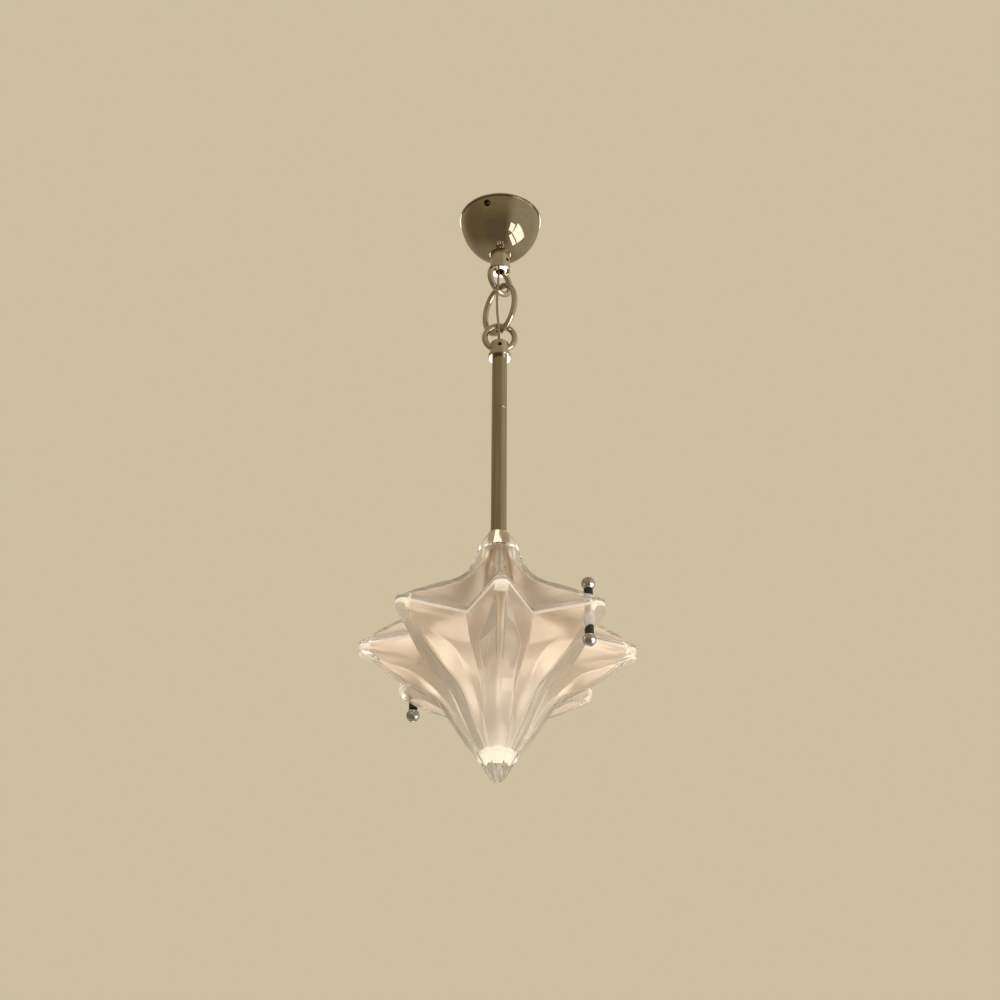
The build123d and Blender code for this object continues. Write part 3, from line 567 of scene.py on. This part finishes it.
neck_outline = [
    (84, 17), (99, 19.6), (103, 19.2), (107.5, 17.8), (112, 15), (116, 12.4), (118.5, 11.2),
    (120, 10.3), (120.6, 10.15), (120.9, 9.85), (121, 9.5),
]
neck_hole = [(99, 14.3), (103, 12.9), (121, 8.4)]
neck_hole_heights = (101, 103, 106, 109, 112, 115, 118, 121)
hollow_top_z = 102          # above it the inside is the plain hole of the neck
neck_from_z = 78            # the rays begin to merge into the round neck
neck_full_z = 84            # from here up the neck keeps to its outline,
neck_first_share = 0.93     # and below it starts from this share of it
neck_blend = 1.2            # softens the line between the rays and the neck
neck_round_from_z = 118     # nothing of the rays is left above it
neck_rows_end_z = 118.4     # above it the neck's rounded top edge follows its own points
top_edge = neck_outline[6:]
row_step = 2.5
ground_to_z = -2.5          # the grinding reaches this far down the outside of the lower half
thick_from_r = 110          # past this reach the hollow ends in solid glass,
thick_below_z = -101        # and below this height too
clip_r = 108.5
clip_hole_r = 4.05
clip_window = 4.0           # half the width of the clearer glass at a clip rod
clip_angles = (radians(-45), radians(135))
clip_places = [(clip_r * cos(a), clip_r * sin(a)) for a in clip_angles]


def smooth_rows(rows, first):
    """Rows at close heights on smooth curves through a table, from its row `first` down."""
    fixed, curved = rows[:first], rows[first:]
    depths = [abs(row[0]) for row in curved]
    spans = [b - a for a, b in zip(depths, depths[1:])]
    columns = list(zip(*curved))
    slopes = []
    for column in columns:
        rates = [(b - a) / span for a, b, span in zip(column, column[1:], spans)]
        inner = [
            2 * p * q / (p + q) if p * q > 0 else 0.0 for p, q in zip(rates, rates[1:])
        ]
        slopes.append([rates[0]] + inner + [rates[-1]])
    drawn = list(fixed)
    for i, span in enumerate(spans):
        steps = max(1, round(span / row_step))
        for k in range(steps):
            t = k / steps
            drawn.append(tuple(
                (2 * t ** 3 - 3 * t ** 2 + 1) * column[i] + (3 * t ** 2 - 2 * t ** 3) * column[i + 1]
                + (t ** 3 - 2 * t ** 2 + t) * span * slope[i]
                + (t ** 3 - t ** 2) * span * slope[i + 1]
                for column, slope in zip(columns, slopes)
            ))
    return drawn + [curved[-1]]


def on_line(outline, z):
    """The radius of an outline of (height, radius) points at a height."""
    for (z_0, r_0), (z_1, r_1) in zip(outline, outline[1:]):
        if z_0 <= z <= z_1:
            return r_0 + (r_1 - r_0) * (z - z_0) / (z_1 - z_0)
    return 0.0


most_of_run = 0.35          # a corner is softened over this share of its shorter run at most
tip_steps = 5
flat_kite_share = 0.4
kite_setback = 1.6
valley_setback = 2.2


def softened(before, corner, after, setback, steps):
    """Points of a soft corner from a run to the next."""
    run_in, run_out = before - corner, after - corner
    cut = min(setback, most_of_run * run_in.length, most_of_run * run_out.length)
    start, end = corner + run_in.normalized() * cut, corner + run_out.normalized() * cut
    return [
        start * (1 - t) ** 2 + corner * 2 * t * (1 - t) + end * t ** 2
        for t in [k / (steps - 1) for k in range(steps)]
    ]


def ray_outline(row, with_kite):
    """One ray's outline at a height, from valley to valley, pointing along +X, in mm."""
    ridge, half_width, valley = row[1], row[2], row[-1]
    at_valley = Vector((valley * cos(pi / rays), valley * sin(pi / rays)))
    flank = [at_valley]
    if len(row) > 4:
        flank.insert(0, Vector((row[3], row[4])))
    lean = atan2(flank[0].y - half_width, ridge - flank[0].x)
    tip_r = half_width * cos(lean) / (1 - sin(lean))
    half = []
    for k in range(tip_steps + 1):
        a = k / tip_steps * (pi / 2 - lean)
        half.append(Vector((ridge - tip_r * (1 - cos(a)), tip_r * sin(a))))
    if with_kite:
        if len(flank) == 1:
            flank.insert(0, half[-1].lerp(at_valley, flat_kite_share))
        half += softened(half[-1], flank[0], at_valley, kite_setback, 3)
    along_valley = Vector((cos(pi / rays), sin(pi / rays)))
    last = half[-1]
    mirrored = along_valley * (2 * last.dot(along_valley)) - last
    half += softened(last, at_valley, mirrored, valley_setback, 5)[:3]
    return [Vector((p.x, -p.y)) for p in half[:0:-1]] + half


def star_wedge(name, outside, hollow, neck=False):
    """One ray's eighth of a star half, from the seam round the outside and the hollow."""
    with_kite = len(outside[0]) > 4
    outer = []
    for row in smooth_rows(outside, 3 if with_kite else 2):
        z = row[0]
        ring = ray_outline(row, with_kite)
        if neck and z >= neck_from_z:
            round_r = on_line(neck_outline, max(z, neck_full_z))
            if z < neck_full_z:
                round_r *= neck_first_share
            ring = [
                p.normalized() * (p.length + round_r + hypot(p.length - round_r, neck_blend)) / 2
                if z < neck_round_from_z else p.normalized() * round_r
                for p in ring
            ]
        outer.append((z, ring))
    if neck:
        outer = [entry for entry in outer if entry[0] < neck_rows_end_z] + [
            (z, [p.normalized() * r for p in outer[-1][1]]) for z, r in top_edge
        ]
    inner = [(row[0], ray_outline(row, with_kite)) for row in smooth_rows(hollow, 2)]
    if neck:
        top = inner[-1][1]
        inner += [
            (z, [p.normalized() * on_line(neck_hole, z) for p in top]) for z in neck_hole_heights
        ]
        rings = outer + inner[::-1]
    else:
        rings = outer[::-1] + inner
    turn = Matrix.Rotation(-pi / 2, 4, "Z")
    shape = bmesh.new()
    etched = shape.faces.layers.bool.new("etched")
    ground = shape.faces.layers.bool.new("ground")
    thick = shape.faces.layers.bool.new("thick")
    base_z = seam_z - (0 if neck else seam_gap)
    placed = [
        [shape.verts.new(turn @ Vector((p.x * mm, p.y * mm, (base_z + z) * mm))) for p in ring]
        for z, ring in rings
    ]
    count = len(placed[0])
    first_inner = len(outer) - (0 if neck else 1)
    pairs = [(i, i + 1) for i in range(len(placed) - 1)] + ([(len(placed) - 1, 0)] if neck else [])
    for i, j in pairs:
        in_hollow = i >= first_inner and rings[i][0] < hollow_top_z
        for k in range(count - 1):
            face = shape.faces.new((placed[i][k], placed[i][k + 1], placed[j][k + 1], placed[j][k]))
            face[etched] = in_hollow
            heights = (rings[i][0], rings[j][0])
            reach = min(rings[row][1][n].length for row in (i, j) for n in (k, k + 1))
            face[ground] = heights == (0, 0) or (
                not in_hollow and min(heights) >= ground_to_z and max(heights) <= 0
            )
            face[thick] = in_hollow and (reach > thick_from_r or max(heights) < thick_below_z)
            face.smooth = True
    if not neck:
        for ring, in_hollow in ((placed[0][::-1], False), (placed[-1], True)):
            pole = shape.verts.new((0, 0, ring[0].co.z))
            for k in range(count - 1):
                face = shape.faces.new((ring[k], ring[k + 1], pole))
                face[etched] = in_hollow
                face[thick] = in_hollow
                face.smooth = True
    mesh = bpy.data.meshes.new(name)
    shape.to_mesh(mesh)
    shape.free()
    return mesh


# Polished soda glass, faintly warm; a little unevenness from the mould moves its highlights.
polished_glass, tree, shader = new_finish("polished_soda_glass", "#FDF8F0", 0.0, 0.05)
shader.inputs["Transmission Weight"].default_value = 1.0
shader.inputs["IOR"].default_value = 1.5
spread = add_node(tree, "ShaderNodeTexCoord")
waviness = add_node(
    tree, "ShaderNodeTexNoise", Vector=spread.outputs["Object"], Scale=90.0, Detail=2.0,
    Roughness=0.5,
)
waves = add_node(
    tree, "ShaderNodeBump", Strength=0.2, Distance=0.25 * mm, Height=waviness.outputs["Fac"]
)
tree.links.new(waves.outputs[0], shader.inputs["Normal"])

# The same glass with an acid-etched skin: it scatters the light to a warm, milky satin.
etched_glass, tree, shader = new_finish("etched_soda_glass", "#F4ECE0", 0.0, 0.45)
shader.inputs["Transmission Weight"].default_value = 0.7
shader.inputs["IOR"].default_value = 1.5
spread = add_node(tree, "ShaderNodeTexCoord")
cloudiness = add_node(
    tree, "ShaderNodeTexNoise", Vector=spread.outputs["Object"], Scale=28.0, Detail=4.0,
    Roughness=0.55,
)
# The satin is whiter towards the narrow lower end: painted light, brightening that end.
painted_light_from_z = -0.535
painted_light_full_z = -0.590
heights = add_node(tree, "ShaderNodeSeparateXYZ", Vector=spread.outputs["Object"])
painted_light_below = add_node(
    tree, "ShaderNodeMapRange", {"interpolation_type": "SMOOTHSTEP"}, Value=heights.outputs[2],
    From_Min=painted_light_from_z, From_Max=painted_light_full_z, To_Min=0.0, To_Max=1.0,
)
cloud_and_painted_light = add_node(
    tree, "ShaderNodeMath", {"operation": "MULTIPLY_ADD"}, n0=cloudiness.outputs["Fac"], n1=0.5,
    n2=painted_light_below.outputs[0],
)
satin = add_node(
    tree, "ShaderNodeMix", {"data_type": "RGBA"}, n0=cloud_and_painted_light.outputs[0],
    n6=linear("#E6D8C9"), n7=linear("#FFFAF3"),
)
tree.links.new(satin.outputs[2], shader.inputs["Base Color"])
grain = add_node(
    tree, "ShaderNodeTexNoise", Vector=spread.outputs["Object"], Scale=900.0, Detail=2.0
)
etch = add_node(
    tree, "ShaderNodeBump", Strength=0.3, Distance=0.1 * mm, Height=grain.outputs["Fac"]
)
tree.links.new(etch.outputs[0], shader.inputs["Normal"])

# Ground soda glass: the seam faces and the lower rim are left matt from the grinding wheel, so they
# show as a pale band, and a faint painted glow (emission) makes the band paler still.
ground_glass_painted_glow, shader = grained(
    "ground_soda_glass_with_painted_glow", "#EFE3D2", "#FDF6EA", 0.0, (0.34, 0.46), 0.8 * mm, depth=0.02 * mm
)
shader.inputs["Transmission Weight"].default_value = 0.5
shader.inputs["IOR"].default_value = 1.5
# Painted glow: a faint emission on the ground faces.
shader.inputs["Emission Color"].default_value = linear("#FFF9EC")
shader.inputs["Emission Strength"].default_value = 0.12

# Thick glass at the ends of the hollow: its etched face is drawn nearly white, and a painted glow
# (emission) stands in for the light of the whole ray gathered there, at the ray ends from the seam
# down for a few mm and all over at the tip.
end_glow_z = (-0.5135, -0.5095)
tip_glow_z = (-0.600, -0.608)
thick_glass_painted_glow, shader = grained(
    "etched_thick_soda_glass_painted_glow", "#FBF5EA", "#FFFEFA", 0.0, (0.44, 0.56), 0.9 * mm, depth=0.04 * mm
)
shader.inputs["Transmission Weight"].default_value = 0.25
shader.inputs["Emission Color"].default_value = linear("#FFF9EC")
shader.inputs["IOR"].default_value = 1.5
tree = thick_glass_painted_glow.node_tree
spread = add_node(tree, "ShaderNodeTexCoord")
heights = add_node(tree, "ShaderNodeSeparateXYZ", Vector=spread.outputs["Object"])
end_glow = add_node(
    tree, "ShaderNodeMapRange", Value=heights.outputs[2], From_Min=end_glow_z[0],
    From_Max=end_glow_z[1], To_Min=0.0, To_Max=0.28,
)
tip_glow = add_node(
    tree, "ShaderNodeMapRange", Value=heights.outputs[2], From_Min=tip_glow_z[0],
    From_Max=tip_glow_z[1], To_Min=0.0, To_Max=0.36,
)
glow = add_node(
    tree, "ShaderNodeMath", {"operation": "MAXIMUM"}, n0=end_glow.outputs[0],
    n1=tip_glow.outputs[0],
)
tree.links.new(glow.outputs[0], shader.inputs["Emission Strength"])

# Geometry Nodes turn the wedge into the whole star: one copy per ray, welded at the valleys.
# Each of the four finishes takes the place of the ones before it on the faces marked for it.
star_maker = bpy.data.node_groups.new("star_of_rays", "GeometryNodeTree")
for name, way, kind in (
    ("Wedge", "INPUT", "NodeSocketGeometry"), ("Rays", "INPUT", "NodeSocketInt"),
    ("Weld", "INPUT", "NodeSocketFloat"), ("Star", "OUTPUT", "NodeSocketGeometry"),
):
    star_maker.interface.new_socket(name, in_out=way, socket_type=kind)
given = add_node(star_maker, "NodeGroupInput")
places = add_node(star_maker, "GeometryNodePoints", Count=given.outputs["Rays"])
which = add_node(star_maker, "GeometryNodeInputIndex")
step = add_node(
    star_maker, "ShaderNodeMath", {"operation": "DIVIDE"}, n0=2 * pi, n1=given.outputs["Rays"]
)
angle = add_node(
    star_maker, "ShaderNodeMath", {"operation": "MULTIPLY"}, n0=which.outputs[0], n1=step.outputs[0]
)
turn = add_node(star_maker, "ShaderNodeCombineXYZ", Z=angle.outputs[0])
copies = add_node(
    star_maker, "GeometryNodeInstanceOnPoints", Points=places.outputs[0],
    Instance=given.outputs["Wedge"], Rotation=turn.outputs[0],
)
real = add_node(star_maker, "GeometryNodeRealizeInstances", Geometry=copies.outputs[0])
welded = add_node(
    star_maker, "GeometryNodeMergeByDistance", Geometry=real.outputs[0],
    Distance=given.outputs["Weld"],
)
clear_all = add_node(
    star_maker, "GeometryNodeSetMaterial", Geometry=welded.outputs[0], Material=polished_glass
)
is_etched = add_node(
    star_maker, "GeometryNodeInputNamedAttribute", {"data_type": "BOOLEAN"}, Name="etched"
)
etch_some = add_node(
    star_maker, "GeometryNodeSetMaterial", Geometry=clear_all.outputs[0],
    Selection=is_etched.outputs[0], Material=etched_glass,
)
is_ground = add_node(
    star_maker, "GeometryNodeInputNamedAttribute", {"data_type": "BOOLEAN"}, Name="ground"
)
grind_some = add_node(
    star_maker, "GeometryNodeSetMaterial", Geometry=etch_some.outputs[0],
    Selection=is_ground.outputs[0], Material=ground_glass_painted_glow,
)
is_thick = add_node(
    star_maker, "GeometryNodeInputNamedAttribute", {"data_type": "BOOLEAN"}, Name="thick"
)
# Where a clip rod stands in its ray, the white and the painted glow are left off, so the rod shows
# through the etch.
along_clips = add_node(
    star_maker, "ShaderNodeVectorMath", {"operation": "DOT_PRODUCT"},
    n0=add_node(star_maker, "GeometryNodeInputPosition").outputs[0],
    n1=(cos(clip_angles[0]), sin(clip_angles[0]), 0),
)
from_axis = add_node(
    star_maker, "ShaderNodeMath", {"operation": "ABSOLUTE"}, n0=along_clips.outputs["Value"]
)
clear_of_rod = add_node(
    star_maker, "FunctionNodeCompare", {"data_type": "FLOAT", "operation": "NOT_EQUAL"},
    n0=from_axis.outputs[0], n1=clip_r * mm, Epsilon=clip_window * mm,
)
glows = add_node(
    star_maker, "FunctionNodeBooleanMath", {"operation": "AND"}, n0=is_thick.outputs[0],
    n1=clear_of_rod.outputs[0],
)
light_ends = add_node(
    star_maker, "GeometryNodeSetMaterial", Geometry=grind_some.outputs[0],
    Selection=glows.outputs[0], Material=thick_glass_painted_glow,
)
add_node(star_maker, "NodeGroupOutput", Star=light_ends.outputs[0])


def plain_mesh(piece):
    """The piece's evaluated mesh, with its modifiers worked in and removed."""
    bpy.context.view_layer.update()
    mesh = bpy.data.meshes.new_from_object(
        piece.evaluated_get(bpy.context.evaluated_depsgraph_get())
    )
    piece.modifiers.clear()
    piece.data = mesh


rim_round = 0.9
drill_depth = 120
weld_within = 0.004


def glass_half(name, wedge, body):
    """A star half from its wedge, with fire-polished rims and its two clip holes."""
    piece = add_piece(name, wedge)
    maker = piece.modifiers.new("star", "NODES")
    maker.node_group = star_maker
    sockets = {item.name: item.identifier for item in star_maker.interface.items_tree}
    maker[sockets["Rays"]] = rays
    maker[sockets["Weld"]] = weld_within * mm
    plain_mesh(piece)
    rim = piece.modifiers.new("rim", "BEVEL")
    rim.limit_method = "ANGLE"
    rim.angle_limit = radians(55)
    rim.width = rim_round * mm
    rim.segments = 3
    plain_mesh(piece)
    drill_shape = bmesh.new()
    for x, y in clip_places:
        bmesh.ops.create_cone(
            drill_shape, cap_ends=True, segments=40, radius1=clip_hole_r * mm,
            radius2=clip_hole_r * mm, depth=drill_depth * mm,
            matrix=Matrix.Translation((x * mm, y * mm, seam_z * mm)),
        )
    drill_mesh = bpy.data.meshes.new("drill")
    drill_shape.to_mesh(drill_mesh)
    drill_shape.free()
    drill = add_piece("drill", drill_mesh)
    holes = piece.modifiers.new("holes", "BOOLEAN")
    holes.operation = "DIFFERENCE"
    holes.solver = "EXACT"
    holes.object = drill
    plain_mesh(piece)
    bpy.data.objects.remove(drill)
    piece.data.set_sharp_from_angle(angle=radians(40))
    even = piece.modifiers.new("even", "WEIGHTED_NORMAL")
    even.keep_sharp = True
    plain_mesh(piece)
    piece.data.name = name
    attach(piece, body)
    return piece


star_upper = glass_half(
    "star_upper", star_wedge("upper_wedge", upper_outside, upper_hollow, neck=True), "pendant"
)
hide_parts("glass_upper")
star_lower = glass_half(
    "star_lower", star_wedge("lower_wedge", lower_outside, lower_hollow), "lower_glass"
)
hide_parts("glass_lower")

# ---------------------------------------------------------------- clips
# Two clips hold the halves together: a chromed rod through each, a round nut at each end, and
# rubber bushes that keep the metal off the glass.

# Chrome on turned balls: the brightest of the metal, with a trace of the lathe.
ball_chrome, shader = grained(
    "polished_chrome_on_turned_balls", "#C6CAD6", "#D4D8E2", 1.0, (0.03, 0.07), 1.0 * mm,
    stretch=(0.1, 0.1, 1), depth=0.002 * mm,
)
dress(ball_chrome, "clip_rods", "ball_nuts_upper", "ball_nut_lower_right", "ball_nut_lower_left")
# Rubber: matt black, slightly mottled by talc from its mould.
black_rubber, shader = grained(
    "moulded_black_rubber", "#191816", "#2A2825", 0.0, (0.50, 0.68), 1.2 * mm, depth=0.02 * mm
)
dress(black_rubber, "clip_bushes_upper", "clip_bushes_lower")
